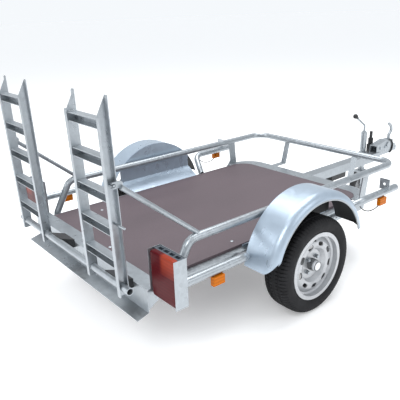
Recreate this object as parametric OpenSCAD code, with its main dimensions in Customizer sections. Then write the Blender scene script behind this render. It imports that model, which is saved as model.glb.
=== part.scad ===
// Flat quad bike trailer with guard rail, fold-up loading ramps and a jockey wheel.
// Millimetres. +X right, +Y forwards to the coupling, +Z up, ground at zero.

/* [Deck] */
// Width of the plywood deck
deck_w = 1050; // [900:5:1300]
// Length of the plywood deck
deck_l = 1565; // [1300:5:2100]
// Height of the deck's top face above the ground
deck_z = 392; // [380:1:420]
// Thickness of the plywood
deck_t = 15; // [12:1:21]
// Radius of the deck's front corners
deck_corner_r = 110; // [40:5:160]

/* [Frame] */
// Height of the side members, drawbar and cross members
member_h = 62; // [50:1:70]
// Flange width of a side member
member_w = 58; // [45:1:70]
// Sheet thickness of the folded members
sheet_t = 3; // [2.5:0.5:5]
// How far a side member stands out past the deck
member_out = 42; // [30:1:50]
// Depth of the front cross member from the deck forwards
front_depth = 95; // [75:5:130]
// Depth of the rear cross member's top flange
rear_depth = 83; // [70:1:110]
// How far the rear apron reaches back past the rear web
apron_reach = 59; // [40:1:75]
// Width of the drawbar
drawbar_w = 80; // [60:2:100]
// Wall of the drawbar
drawbar_wall = 4; // [3:0.5:6]
// How far the drawbar reaches past the deck's front edge
drawbar_reach = 1000; // [850:10:1250]

/* [Guard rail] */
// Outside diameter of the guard rail tube
rail_d = 40; // [32:1:48]
// Wall of the guard rail tube
rail_wall = 2.5; // [2:0.5:4]
// Height of the rail's centre line above the deck
rail_h = 167; // [140:1:240]
// How far the front run stands ahead of the deck
rail_front = 250; // [200:5:320]
// Bend radius of the rail
rail_bend_r = 95; // [70:5:140]

/* [Side bars] */
// Outside diameter of the side bars
bar_d = 42; // [36:1:48]
// Distance of the side bars outside the deck edge
bar_out = 189; // [170:1:215]
// Height of the rear side bars above the deck
bar_h = 52; // [45:1:80]
// How much higher the front side bars run than the rear ones
bar_rise = 28; // [0:1:40]

/* [Wheels] */
// Radius of the tyre
tyre_r = 260; // [252:0.5:275]
// Width of the tyre
tyre_w = 155; // [140:1:168]
// Bead seat radius of the rim
rim_r = 166; // [150:1:170]
// How far the middle of each tyre is outboard of the deck's edge
wheel_out = 192; // [180:1:215]
// Distance of the axle line ahead of the deck's rear edge
axle_y = 814; // [650:2:1100]
// Number of slots through the wheel disc
vent_count = 9; // [6:1:12]

/* [Fenders] */
// Crown radius of the fender
fender_r = 368; // [340:1:400]
// Height of the fender's centre above the axle line
fender_lift = 32; // [15:1:45]
// Width of the fender
fender_w = 183; // [175:1:210]
// Rounding of the fender's outer edge
fender_round = 42; // [20:1:60]

/* [Ramps] */
// Width of one ramp over its rails
ramp_w = 290; // [250:5:330]
// Distance of a ramp's middle from the centre line
ramp_x = 385; // [330:1:400]
// Length of a ramp from the hinge bar to its tip
ramp_l = 805; // [650:5:830]
// Depth of a ramp rail
ramp_depth = 46; // [36:1:60]
// Number of rungs in a ramp
rung_count = 5; // [3:1:7]
// Distance from the hinge bar to the first rung
rung_first = 108; // [80:2:140]
// Rearward lean of the folded ramps in degrees
ramp_lean = 1.2; // [0:0.2:3]
// Outside diameter of the hinge bar
hinge_d = 34; // [26:1:42]

/* [Lamps] */
// Width of a tail lamp
lamp_w = 172; // [140:2:190]
// Height of a tail lamp
lamp_h = 214; // [160:2:240]
// How far the middle of each tail lamp is outboard of the deck's edge
lamp_out = 147; // [130:1:165]

/* [Jockey wheel and coupling] */
// Radius of the jockey wheel
jockey_r = 100; // [80:5:110]
// Outside diameter of the jockey's outer tube
jockey_d = 48; // [42:1:60]
// Distance of the jockey wheel behind the drawbar's front end
jockey_back = 65; // [55:5:160]
// Diameter of the tow ball the coupling takes
ball_d = 50; // [50:1:51]

/* [Hidden] */
$fn = 48;

eps = 0.01;
lap = 0.25;
galv = [0.74, 0.77, 0.8];
dark = [0.12, 0.12, 0.13];
deck_x = deck_w / 2;
deck_under = deck_z - deck_t;
member_x = deck_x + member_out;
wheel_x = deck_x + wheel_out;
lamp_x = deck_x + lamp_out;
member_low = deck_under - member_h;
front_y = deck_l + front_depth;
bar_x = deck_x + bar_out;
bar_z = deck_z + bar_h;
bar_front_z = bar_z + bar_rise;
bar_end = front_y - 35;
bar_bend_r = 80;
bar_rear_bend = 385;
bar_rear_foot = 455;
bar_front_bend = 1245;
bar_front_foot = 1175;
bearer_rows = [380, 1215];
bearer_w = 40;
bearer_h = 45;
rail_x = member_x + rail_d / 2 + 0.2;
rail_z = deck_z + rail_h;
rail_y = deck_l + rail_front;
rail_foot_y = 42;
rail_rear_y = 150;
rail_split_y = rail_y - rail_bend_r - 60;
draw_end = deck_l + drawbar_reach;
beam = 70;
beam_y = axle_y + 140;
beam_z = member_low - beam / 2;
arm_x = member_x + 6;
arm_t = 22;
spindle_r = 17;
hub_r = 62;
fender_in = wheel_x - tyre_w / 2 - 14;
fender_z = tyre_r + fender_lift;
fender_low = 7;
fender_high = 164.4;
fender_corner = 90;
panel_low = deck_z + 51;
hinge_y = -(rear_depth + 80);
hinge_z = deck_z + 23;
apron_y = -(rear_depth + apron_reach);
apron_z = deck_z - 127;
web_low = apron_z + 15;
rear_half = deck_x + 55;
lamp_mid_z = deck_z + 83;
lamp_front = -62;
lamp_back = -4;
ramp_rail_w = 22;
ramp_wall = 4;
rung_step = (ramp_l - rung_first - 105) / (rung_count - 1);
pin_up = 460;
pin_low = 292;
ramp_bevel = 80;
jockey_y = draw_end - jockey_back;
jockey_x = -(drawbar_w / 2 + jockey_d / 2 + 16);
jockey_leg_r = 19.9;
jockey_trail = 38;
ball_y = draw_end + 235;
ball_z = deck_z - 17;
cup_r = ball_d / 2 + 11;
cup_y = ball_y - cup_r - 8;
coupling_w = 66;
y_back = hinge_y - ramp_depth / 2 * cos(ramp_lean) - (ramp_l - ramp_bevel) * sin(ramp_lean);
y_front = ball_y + cup_r;
y_mid = (y_back + y_front) / 2;

function unit(v) = v / norm(v);

// Everything is drawn from the deck's rear edge, then moved so the middle of the length is at zero
module place() {
    translate([0, -y_mid, 0]) children();
}

module flip(side) {
    if (side > 0) children();
    else mirror([1, 0, 0]) children();
}

module rod(a, b, r) {
    d = b - a;
    turn = atan2(d[1], d[0]);
    tip = acos(d[2] / norm(d));
    translate(a) rotate([0, tip, turn]) cylinder(h = norm(d), r = r);
}

module elbow(p, d1, d2, bend_r, r) {
    ang = acos(d1 * d2);
    n = unit(d2 - d1 * (d1 * d2));
    start = p - d1 * bend_r * tan(ang / 2);
    c = start + n * bend_r;
    x = -n;
    z = cross(x, d1);
    multmatrix([[x[0], d1[0], z[0], c[0]], [x[1], d1[1], z[1], c[1]], [x[2], d1[2], z[2], c[2]], [0, 0, 0, 1]])
        rotate_extrude(angle = ang) translate([bend_r, 0]) circle(r = r + lap);
}

function cut_back(p, i, bend_r) = (i == 0 || i == len(p) - 1) ? 0
    : bend_r * tan(acos(unit(p[i] - p[i - 1]) * unit(p[i + 1] - p[i])) / 2);

// Round bar along the points with a bend of one radius at each inner point
module bent_bar(p, bend_r, r, extra) {
    n = len(p);
    for (i = [0 : n - 2]) {
        d = unit(p[i + 1] - p[i]);
        a = p[i] + d * (i == 0 ? -extra : cut_back(p, i, bend_r) - 0.8);
        b = p[i + 1] - d * (i == n - 2 ? -extra : cut_back(p, i + 1, bend_r) - 0.8);
        rod(a, b, r);
    }
    for (i = [1 : 1 : n - 2])
        elbow(p[i], unit(p[i] - p[i - 1]), unit(p[i + 1] - p[i]), bend_r, r);
}

module bent_tube(p, bend_r, d, wall) {
    difference() {
        bent_bar(p, bend_r, d / 2, 0);
        bent_bar(p, bend_r, d / 2 - wall, 2);
    }
}

module deck_outline(grow, corner) {
    w = deck_x + grow;
    l = deck_l + grow;
    translate([-w, 0]) square([2 * w, l - corner]);
    translate([-(w - corner), 0]) square([2 * (w - corner), l]);
    for (s = [-1, 1])
        translate([s * (w - corner), l - corner]) circle(r = corner);
}

module deck_panel() {
    color([0.5, 0.45, 0.48]) place()
        translate([0, 0, deck_under]) linear_extrude(deck_t) deck_outline(0, deck_corner_r);
}

module side_member() {
    difference() {
        translate([member_x - member_w, 0, member_low])
            cube([member_w, deck_l - deck_corner_r, member_h]);
        translate([member_x - member_w - 1, -1, member_low + sheet_t])
            cube([member_w - sheet_t + 1, deck_l + 2, member_h - 2 * sheet_t]);
    }
}

module side_member_left() {
    color(galv) place() flip(-1) side_member();
}

module side_member_right() {
    color(galv) place() flip(1) side_member();
}

// Outline of the front cross member, rounded round the deck's front corners
module front_outline(inset) {
    half = member_x - inset;
    low = deck_l - deck_corner_r;
    top = front_y - inset;
    r = deck_corner_r + 55 - inset;
    translate([-half, low]) square([2 * half, top - low - r]);
    translate([-(half - r), low]) square([2 * (half - r), top - low]);
    for (s = [-1, 1])
        translate([s * (half - r), top - r]) circle(r = r);
}

module front_cross_member() {
    color(galv) place() difference() {
        union() {
            translate([0, 0, deck_z - sheet_t]) linear_extrude(sheet_t) difference() {
                front_outline(0);
                deck_outline(1, deck_corner_r);
                translate([-member_x, 0]) square([2 * member_x, deck_l - deck_corner_r]);
            }
            translate([0, 0, member_low]) linear_extrude(deck_z - member_low - eps) difference() {
                front_outline(0);
                front_outline(sheet_t);
                translate([-member_x, 0]) square([2 * member_x, deck_l - deck_corner_r]);
            }
            translate([-(deck_x - 150), deck_l - 45, deck_under - sheet_t])
                cube([2 * (deck_x - 150), front_depth + 44, sheet_t]);
        }
        translate([-drawbar_w / 2, deck_l - 100, member_low - 1])
            cube([drawbar_w, 300, member_h + 1]);
    }
}

module rear_cross_member() {
    h = 2 * rear_half;
    color(galv) place() difference() {
        union() {
            rotate([90, 0, 90]) translate([0, 0, -rear_half]) linear_extrude(h) {
                translate([-rear_depth, deck_z - sheet_t]) square([rear_depth, sheet_t]);
                translate([-rear_depth, web_low]) square([sheet_t, deck_z - web_low]);
                translate([-sheet_t, deck_under - sheet_t]) square([sheet_t, deck_t + sheet_t]);
                translate([-sheet_t, deck_under - sheet_t]) square([45, sheet_t]);
                polygon([[-rear_depth, web_low], [-rear_depth + sheet_t, web_low],
                    [apron_y, apron_z - sheet_t], [apron_y, apron_z]]);
            }
            for (s = [-1, 1])
                translate([s * (rear_half - 12) - 2, 0, 0]) rotate([90, 0, 90]) linear_extrude(4)
                    polygon([[-rear_depth, web_low], [-rear_depth, deck_z - 1], [0, deck_z - 1], [0, deck_z - 60]]);
        }
        for (s = [-1, 1])
            flip(s) translate([member_x - member_w, -0.1, member_low - 1]) cube([150, 60, member_h + 60]);
    }
}

module deck_bearers() {
    half = member_x - member_w;
    color(galv) place() difference() {
        for (y = bearer_rows)
            translate([-half, y, deck_under - bearer_h]) difference() {
                cube([2 * half, bearer_w, bearer_h]);
                translate([-1, sheet_t, -1])
                    cube([2 * half + 2, bearer_w - 2 * sheet_t, bearer_h - sheet_t + 1]);
            }
        translate([-drawbar_w / 2, beam_y - 100, member_low]) cube([drawbar_w, deck_l, member_h + 1]);
    }
}

module drawbar() {
    back = beam_y - 60;
    color(galv) place() difference() {
        translate([-drawbar_w / 2, back, member_low]) cube([drawbar_w, draw_end - back, member_h]);
        translate([-drawbar_w / 2 + drawbar_wall, back - 1, member_low + drawbar_wall])
            cube([drawbar_w - 2 * drawbar_wall, draw_end - back + 2, member_h - 2 * drawbar_wall]);
    }
}

module side_rail() {
    bent_tube([[rail_x, rail_foot_y, member_low + 20], [rail_x, rail_foot_y + 8, deck_z - 12],
        [rail_x, rail_rear_y, rail_z], [rail_x, rail_split_y, rail_z]], 62, rail_d, rail_wall);
}

module rail_left() {
    color(galv) place() flip(-1) side_rail();
}

module rail_right() {
    color(galv) place() flip(1) side_rail();
}

module rail_front() {
    color(galv) place()
        bent_tube([[-rail_x, rail_split_y, rail_z], [-rail_x, rail_y, rail_z], [rail_x, rail_y, rail_z],
            [rail_x, rail_split_y, rail_z]], rail_bend_r, rail_d, rail_wall);
}

// Flat posts under the rail: two ahead of the front cross member and one on each side
module rail_posts() {
    post_w = 40;
    post_t = 8;
    side_w = 58;
    foot_y = front_y;
    side_y = deck_l - 62;
    color(galv) place() difference() {
        for (s = [-1, 1]) {
            translate([s * 297 - post_w / 2, 0, 0]) rotate([90, 0, 90]) linear_extrude(post_w)
                polygon([[foot_y, deck_z - 1], [foot_y, deck_z - 1 - post_t],
                    [rail_y - 38, deck_z - 1 - post_t], [rail_y + 4, rail_z - rail_d / 2 + 4],
                    [rail_y - 4, rail_z - rail_d / 2 + 4], [rail_y - 38 - post_t, deck_z - 1]]);
            flip(s) {
                translate([0, side_y - side_w / 2, 0]) rotate([90, 0, 0]) mirror([0, 0, 1])
                    linear_extrude(side_w)
                    polygon([[member_x, member_low + 8], [member_x + 6, member_low + 8],
                        [member_x + 7, deck_z - 8], [rail_x + 4, rail_z - rail_d / 2 + 4],
                        [rail_x - 4, rail_z - rail_d / 2 + 4], [member_x, deck_z - 8]]);
                translate([member_x, 0, 0]) rotate([90, 0, 90]) linear_extrude(6)
                    polygon([[side_y + 27, member_low + 8], [side_y - 75, member_low + 8],
                        [side_y - 75, deck_z - 25], [side_y - 27, deck_z + 30], [side_y + 27, deck_z + 30]]);
            }
        }
        translate([-rail_x, rail_y, rail_z]) rotate([0, 90, 0]) cylinder(h = 2 * rail_x, d = rail_d + 0.2);
        for (s = [-1, 1])
            translate([s * rail_x, 0, rail_z]) rotate([-90, 0, 0]) cylinder(h = rail_y, d = rail_d + 0.2);
    }
}

// Everything outboard of the side member's face
module outboard() {
    difference() {
        children();
        translate([0, -100, 0]) cube([member_x + 0.1, 3000, 900]);
    }
}

module bar_rear() {
    outboard()
        bent_tube([[bar_x, lamp_back + 2, bar_z], [bar_x, bar_rear_bend, bar_z],
            [member_x - 12, bar_rear_foot, deck_under - 24]], bar_bend_r, bar_d, rail_wall);
}

module bar_front() {
    outboard() mirror([0, 1, 0])
        bent_tube([[bar_x, -bar_end, bar_front_z], [bar_x, -bar_front_bend, bar_front_z],
            [member_x - 12, -bar_front_foot, deck_under - 24]], bar_bend_r, bar_d, rail_wall);
}

module side_bar_rear_left() {
    color(galv) place() flip(-1) bar_rear();
}

module side_bar_rear_right() {
    color(galv) place() flip(1) bar_rear();
}

module side_bar_front_left() {
    color(galv) place() flip(-1) bar_front();
}

module side_bar_front_right() {
    color(galv) place() flip(1) bar_front();
}

module fender_profile() {
    t = 2;
    f = fender_round;
    translate([fender_r - t, 0]) square([t, fender_w - f]);
    translate([fender_r - f, fender_w - f]) intersection() {
        difference() {
            circle(r = f);
            circle(r = f - t);
        }
        square([f, f]);
    }
    translate([fender_r - f, fender_w - 4]) circle(r = 5);
}

// Turned about the wheel's axis from the rear, over the top, to the front
module fender() {
    tail = fender_z + (fender_r - fender_round - 6) * sin(fender_low);
    out = fender_in + fender_w + 1.2;
    difference() {
        translate([-fender_in, axle_y, fender_z])
            multmatrix([[0, 0, -1, 0], [-1, 0, 0, 0], [0, 1, 0, 0], [0, 0, 0, 1]])
            rotate([0, 0, fender_low]) rotate_extrude(angle = fender_high - fender_low) fender_profile();
        translate([-out, axle_y - 230, tail]) rotate([90, 0, 0]) linear_extrude(170) difference() {
            translate([-1, -1]) square(fender_corner + 1);
            translate([fender_corner, fender_corner]) circle(r = fender_corner);
        }
    }
}

module fender_left() {
    color([0.66, 0.72, 0.79]) place() fender();
}

module fender_right() {
    color([0.66, 0.72, 0.79]) place() mirror([1, 0, 0]) fender();
}

// Flat inner cheek under the fender's crown and the sloping sill down to the deck edge
module fender_panel() {
    half = 285;
    sill = 2.5;
    translate([fender_in - 2, axle_y, fender_z]) rotate([90, 0, 90]) linear_extrude(2.5) intersection() {
        circle(r = fender_r - 2, $fn = 96);
        translate([-half, panel_low - fender_z]) square([2 * half, fender_r]);
    }
    translate([0, axle_y + half, 0]) rotate([90, 0, 0]) linear_extrude(2 * half)
        polygon([[deck_x + 2, deck_under], [deck_x + 2, deck_z - 4], [fender_in - 2, panel_low + sill],
            [fender_in + 0.5, panel_low + sill], [fender_in + 0.5, panel_low - 1],
            [deck_x + 2 + sill, deck_z - 6], [deck_x + 2 + sill, deck_under]]);
}

module fender_panel_left() {
    color(galv) place() flip(-1) fender_panel();
}

module fender_panel_right() {
    color(galv) place() flip(1) fender_panel();
}

module axle_beam() {
    half = arm_x - 1;
    color(galv) place() difference() {
        translate([-half, beam_y - beam / 2, beam_z - beam / 2]) cube([2 * half, beam, beam]);
        translate([-half - 1, beam_y - beam / 2 + 5, beam_z - beam / 2 + 5])
            cube([2 * half + 2, beam - 10, beam - 10]);
    }
}

module axle_arm() {
    run = beam_y - axle_y;
    rise = beam_z - tyre_r;
    slope = atan2(rise, run);
    reach = norm([run, rise]);
    translate([arm_x - 1, axle_y, tyre_r]) {
        rotate([90, 0, 90]) linear_extrude(arm_t) {
            rotate(slope) translate([0, -24]) square([reach, 48]);
            circle(r = 30);
            translate([run, rise]) circle(r = 34);
        }
        translate([arm_t / 2, 0, 0]) rotate([0, 90, 0]) cylinder(h = wheel_x + 40 - arm_x - arm_t / 2, r = spindle_r);
        translate([-30, run - 22, rise - 22]) cube([30 + arm_t / 2, 44, 44]);
    }
}

module axle_arm_left() {
    color(galv) place() flip(-1) axle_arm();
}

module axle_arm_right() {
    color(galv) place() flip(1) axle_arm();
}

// Folded guard round a tail lamp: two cheeks and a wall, open above and behind
module lamp_guard() {
    w = lamp_w + 8;
    h = lamp_h + 6;
    translate([lamp_x - w / 2, lamp_front - 5, lamp_mid_z - h / 2]) difference() {
        cube([w, lamp_back + 2 - lamp_front + 5, h]);
        translate([2, -1, -1]) cube([w - 4, lamp_back - lamp_front + 6, h + 2]);
    }
}

module lamp_guard_left() {
    color(galv) place() flip(-1) lamp_guard();
}

module lamp_guard_right() {
    color(galv) place() flip(1) lamp_guard();
}

module lamp_bodies() {
    color([0.25, 0.28, 0.3]) place()
        for (s = [-1, 1])
            translate([s * lamp_x - lamp_w / 2, lamp_front + 24, lamp_mid_z - lamp_h / 2]) difference() {
                cube([lamp_w, lamp_back - lamp_front - 24, lamp_h]);
                for (k = [0 : 3])
                    translate([14 + k * 38, 8, lamp_h - 12]) cube([30, 18, 13]);
            }
}

module lamp_lenses() {
    color([0.6, 0.08, 0.1]) place()
        for (s = [-1, 1])
            translate([s * lamp_x - lamp_w / 2, lamp_front, lamp_mid_z - lamp_h / 2])
                cube([lamp_w, 24, lamp_h]);
}

// Amber side markers under the side bars: distance ahead of the deck's rear edge and height of their bar
markers = [[188, bar_z], [1463, bar_front_z]];
module marker_lamps() {
    color([0.95, 0.5, 0.05]) place()
        for (s = [-1, 1], m = markers)
            flip(s) difference() {
                translate([bar_x + 4, m[0] - 32, m[1] - bar_d / 2 - 42]) {
                    cube([22, 64, 42]);
                    translate([-8, 20, 12]) cube([9, 24, 34]);
                }
                translate([bar_x, 0, m[1]]) rotate([-90, 0, 0]) cylinder(h = front_y, d = bar_d + 0.2);
            }
}

module marker_plates() {
    plate_y = bar_end - 125;
    color(galv) place()
        for (s = [-1, 1])
            flip(s) difference() {
                translate([bar_x - 30, plate_y, bar_front_z + bar_d / 2 - 4]) cube([62, 4, 64]);
                translate([bar_x, plate_y - 1, bar_front_z + bar_d / 2 + 28]) rotate([-90, 0, 0])
                    cylinder(h = 6, r = 8);
                translate([bar_x, 0, bar_front_z]) rotate([-90, 0, 0]) cylinder(h = front_y, d = bar_d + 0.2);
            }
}

// Short lead from the side bar down and back up to the front marker
module marker_leads() {
    lead_r = 3;
    sag_r = 140.7;
    color(dark) place()
        for (s = [-1, 1])
            flip(s) translate([bar_x + 6.2, markers[1][0] - 85.4, bar_front_z + 61.2]) rotate([0, 0, -4.3])
                rotate([90, 0, 90]) rotate([0, 0, 219.05]) rotate_extrude(angle = 78.15)
                translate([sag_r, 0]) circle(r = lead_r, $fn = 16);
}

module hinge_bar() {
    half = deck_x + 50;
    color(galv) place() translate([-half, hinge_y, hinge_z]) rotate([0, 90, 0]) difference() {
        cylinder(h = 2 * half, d = hinge_d);
        translate([0, 0, -1]) cylinder(h = 2 * half + 2, d = hinge_d - 6);
    }
}

// Two black blocks on the rear web that cradle the hinge bar
module hinge_brackets() {
    block_w = 110;
    color(dark) place()
        for (x = [-145, 418])
            translate([x - block_w / 2, 0, 0]) rotate([90, 0, 90]) linear_extrude(block_w) difference() {
                polygon([[-rear_depth, hinge_z - 52], [-rear_depth, hinge_z - 26 + hinge_d / 2],
                    [hinge_y + 4, hinge_z + hinge_d / 2 + 2], [hinge_y, hinge_z - hinge_d / 2 - 8],
                    [hinge_y + 22, hinge_z - 52]]);
                translate([hinge_y, hinge_z]) circle(r = hinge_d / 2 + 0.05);
            }
}

// Stay from the rail's rear bend up to the outer ramp rail, with an open jaw round the ramp's stud
module stay() {
    jaw_x = ramp_x + ramp_w / 2 + 8;
    stud_y = hinge_y - pin_up * sin(ramp_lean);
    stud_z = hinge_z + pin_up * cos(ramp_lean);
    foot = [rail_x - 2, rail_rear_y + 50, rail_z + rail_d / 2 - 3];
    head = [jaw_x + 9, stud_y + 28, stud_z - 11];
    difference() {
        rod(foot, head, 11);
        translate([rail_x, 0, rail_z]) rotate([-90, 0, 0]) cylinder(h = rail_y, d = rail_d + 0.2);
    }
    translate([jaw_x - 3, stud_y, stud_z]) rotate([90, 0, 90]) linear_extrude(8) difference() {
        union() {
            circle(r = 14);
            translate([0, -14]) square([28, 28]);
            translate([28, 0]) circle(r = 14);
        }
        circle(r = 8.5);
        translate([-30, -8.5]) square([30, 17]);
    }
}

module stay_left() {
    color(galv) place() flip(-1) stay();
}

module stay_right() {
    color(galv) place() flip(1) stay();
}

// Pressed coupling housing on the drawbar, open at the back, with a pivot boss through it
module coupling_head() {
    top = member_low + member_h;
    d = draw_end;
    color([0.7, 0.72, 0.74]) place() difference() {
        union() {
            translate([-coupling_w / 2, 0, 0]) rotate([90, 0, 90]) linear_extrude(coupling_w)
                polygon([[d - 40, top], [d - 40, top + 57], [d + 100, top + 84], [d + 150, top + 76],
                    [cup_y, top + 76], [cup_y, ball_z - 22], [d + 180, ball_z - 30], [d, ball_z - 30], [d, top]]);
            translate([-coupling_w / 2 - 8, d + 118, top + 40]) rotate([0, 90, 0])
                cylinder(h = coupling_w + 16, r = 24);
        }
        translate([-coupling_w / 2 + 5, d - 41, top - 2]) cube([coupling_w - 10, 120, 53]);
    }
}

// Cup over the tow ball, open below
module coupling_cup() {
    color([0.7, 0.72, 0.74]) place() difference() {
        union() {
            translate([-coupling_w / 2, 0, 0]) rotate([90, 0, 90]) linear_extrude(coupling_w)
                polygon([[cup_y, ball_z - 22], [cup_y, ball_z + 46], [ball_y, ball_z + 33], [ball_y, ball_z - 22]]);
            translate([0, ball_y, ball_z]) sphere(r = cup_r);
            translate([0, ball_y, ball_z - 22]) cylinder(h = 22, r = cup_r);
        }
        translate([0, ball_y, ball_z]) sphere(r = ball_d / 2 + 0.6);
        translate([0, ball_y, ball_z - 60]) cylinder(h = 60, r = ball_d / 2 + 0.6);
        translate([-60, cup_y - 1, ball_z - 60]) cube([120, 120, 38]);
    }
}

module coupling_lever() {
    top = member_low + member_h + 76;
    d = draw_end;
    color([0.7, 0.72, 0.74]) place()
        bent_bar([[0, d + 174, top + 0.1], [0, d + 174, top + 34], [0, d + 206, top + 66],
            [0, d + 196, top + 104], [0, d + 160, top + 128]], 18, 12, 0);
}

module safety_cable() {
    color(dark) place() translate([38.2, draw_end + 125, member_low + member_h + 22]) rotate([90, 0, 90])
        rotate([0, 0, -64]) rotate_extrude(angle = 160) translate([58, 0]) circle(r = 5, $fn = 16);
}

module jockey_clamp() {
    z = member_low + member_h / 2;
    color(galv) place() difference() {
        union() {
            translate([jockey_x, jockey_y, z - 26]) cylinder(h = 52, r = jockey_d / 2 + 7);
            translate([jockey_x, jockey_y - 32, z - 26]) cube([-drawbar_w / 2 - jockey_x, 64, 52]);
        }
        translate([jockey_x, jockey_y, z - 27]) cylinder(h = 54, r = jockey_d / 2);
    }
}

module jockey_tube() {
    low = member_low - 4;
    high = deck_z + 140;
    color(galv) place() translate([jockey_x, jockey_y, 0]) difference() {
        translate([0, 0, low]) cylinder(h = high - low, d = jockey_d);
        translate([0, 0, low - 1]) cylinder(h = high - low - 7, d = jockey_d - 8);
    }
}

module jockey_crank() {
    high = deck_z + 140;
    color([0.6, 0.62, 0.64]) place() translate([jockey_x, jockey_y, 0]) {
        translate([0, 0, high]) cylinder(h = 12, r = 18);
        bent_bar([[0, 0, high + 6], [0, 0, high + 60], [0, -125, high + 144]], 24, 8, 0);
        translate([0, -138, high + 153]) sphere(r = 18);
    }
}

// Electric plug parked in its clip beside the jockey tube
module plug_socket() {
    top = member_low + member_h;
    color(dark) place() translate([jockey_x + 16, jockey_y + 78, 0]) {
        translate([0, 0, top + 20]) cylinder(h = 80, r = 20);
        translate([0, 0, top + 100]) cylinder(h = 55, r = 12);
        translate([-20, -20, top - 40]) cube([-drawbar_w / 2 - jockey_x - 16 + 20, 40, 8]);
        translate([-20, -20, top - 40]) cube([8, 40, 90]);
    }
}

module junction_box() {
    color(dark) place() translate([-30, deck_l + 385, member_low - 44]) cube([60, 170, 44]);
}

module tyre() {
    half = tyre_w / 2;
    bead = rim_r;
    sh = 30;
    rotate([0, 90, 0]) rotate_extrude($fn = 72) {
        difference() {
            union() {
                translate([bead, -half + 14]) square([tyre_r - bead - 14, tyre_w - 28]);
                translate([bead + 20, -half]) square([tyre_r - bead - 20 - sh, tyre_w]);
                translate([tyre_r - 15, -half + 26]) square([15, tyre_w - 52]);
                for (s = [-1, 1]) {
                    translate([tyre_r - sh, s * (half - sh)]) circle(r = sh);
                    translate([bead + 20, s * (half - 20)]) circle(r = 20);
                }
            }
            translate([bead - 40, -half + 26]) square([tyre_r - bead + 26, tyre_w - 52]);
            for (s = [-1, 1])
                translate([bead - 20, s * (half - 8 + 10) - 15.2]) square([36.3, 30.4]);
        }
    }
}

// Rim section, then the disc with its slots, raised middle and hub cap seat
module rim() {
    half = tyre_w / 2 - 8;
    r = rim_r;
    disc = half - 52;
    rotate([0, 90, 0]) difference() {
        union() {
            rotate_extrude($fn = 72) polygon([[r - 4, -half], [r + 16, -half], [r + 16, -half + 4], [r, -half + 5], [r, -half + 30],
                [r - 22, -half + 42], [r - 22, half - 42], [r, half - 30], [r, half - 5], [r + 16, half - 4],
                [r + 16, half], [r - 4, half], [r - 4, half - 28], [r - 26, half - 40], [r - 26, -half + 40],
                [r - 4, -half + 28]]);
            rotate_extrude($fn = 72) polygon([[32, disc + 8], [78, disc + 8], [93, disc + 29], [108, disc + 36],
                [128, disc + 32], [r - 15, disc + 19], [r - 17, disc + 14], [127, disc + 26],
                [109, disc + 29.5], [97, disc + 23], [83, disc + 2], [32, disc + 2]]);
        }
        for (k = [0 : vent_count - 1])
            rotate([0, 0, k * 360 / vent_count]) translate([116, 0, disc]) linear_extrude(60) {
                translate([-11, -9]) square([22, 18]);
                for (s = [-1, 1])
                    translate([0, s * 9]) circle(r = 11);
            }
        for (k = [0 : 3])
            rotate([0, 0, k * 90 + 45]) translate([49, 0, disc - 10]) cylinder(h = 40, r = 9.2);
    }
}

module hub() {
    disc = tyre_w / 2 - 60;
    rotate([0, 90, 0]) difference() {
        union() {
            translate([0, 0, -60]) cylinder(h = disc + 62, r = hub_r);
            translate([0, 0, disc]) cylinder(h = 34, r = 31.5);
            translate([0, 0, disc + 30]) cylinder(h = 22, r = 26);
            for (k = [0 : 3])
                rotate([0, 0, k * 90 + 45]) translate([49, 0, disc]) cylinder(h = 24, r = 9);
        }
        translate([0, 0, -61]) cylinder(h = 104, r = spindle_r + 0.05);
    }
}

module tyre_left() {
    color([0.16, 0.16, 0.17]) place() flip(-1) translate([wheel_x, axle_y, tyre_r]) tyre();
}

module rim_left() {
    color([0.78, 0.79, 0.8]) place() flip(-1) translate([wheel_x, axle_y, tyre_r]) rim();
}

module hub_left() {
    color([0.7, 0.71, 0.72]) place() flip(-1) translate([wheel_x, axle_y, tyre_r]) hub();
}

module tyre_right() {
    color([0.16, 0.16, 0.17]) place() translate([wheel_x, axle_y, tyre_r]) tyre();
}

module rim_right() {
    color([0.78, 0.79, 0.8]) place() translate([wheel_x, axle_y, tyre_r]) rim();
}

module hub_right() {
    color([0.7, 0.71, 0.72]) place() translate([wheel_x, axle_y, tyre_r]) hub();
}

// Ramp drawn upright from the hinge bar, one channel rail with its bevelled tip
module ramp_rail() {
    half = ramp_depth / 2;
    difference() {
        rotate([90, 0, 90]) linear_extrude(ramp_rail_w)
            polygon([[-half, -42], [half, -42], [half, ramp_l], [-half, ramp_l - ramp_bevel]]);
        translate([ramp_wall, -half + ramp_wall, -60]) cube([ramp_rail_w, ramp_depth - 2 * ramp_wall, ramp_l + 70]);
        rotate([0, 90, 0]) translate([0, 0, -1]) cylinder(h = ramp_rail_w + 2, d = hinge_d + 2);
    }
}

module ramp_place(side) {
    place() flip(side) translate([ramp_x, hinge_y, hinge_z]) rotate([ramp_lean, 0, 0]) children();
}

module ramp_rails(side) {
    color(galv) ramp_place(side) {
        translate([ramp_w / 2 - ramp_rail_w, 0, 0]) ramp_rail();
        mirror([1, 0, 0]) translate([ramp_w / 2 - ramp_rail_w, 0, 0]) ramp_rail();
        for (pin = [[pin_up, 40], [pin_low, 84]])
            translate([ramp_w / 2 - ramp_rail_w - 2, 0, pin[0]]) rotate([0, 90, 0]) cylinder(h = pin[1], r = 5);
    }
}

// Rungs are channels open to the underside of the lowered ramp
module ramp_rungs(side) {
    len_in = ramp_w - 2 * ramp_rail_w;
    rung_h = 38;
    color(galv) ramp_place(side)
        for (k = [0 : rung_count - 1])
            translate([-len_in / 2, -ramp_depth / 2 + 3, rung_first + k * rung_step - rung_h / 2]) difference() {
                cube([len_in, ramp_depth - 6, rung_h]);
                translate([-1, -1, 3]) cube([len_in + 2, ramp_depth - 9, rung_h - 6]);
            }
}

module ramp_rails_left() {
    ramp_rails(-1);
}

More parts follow.
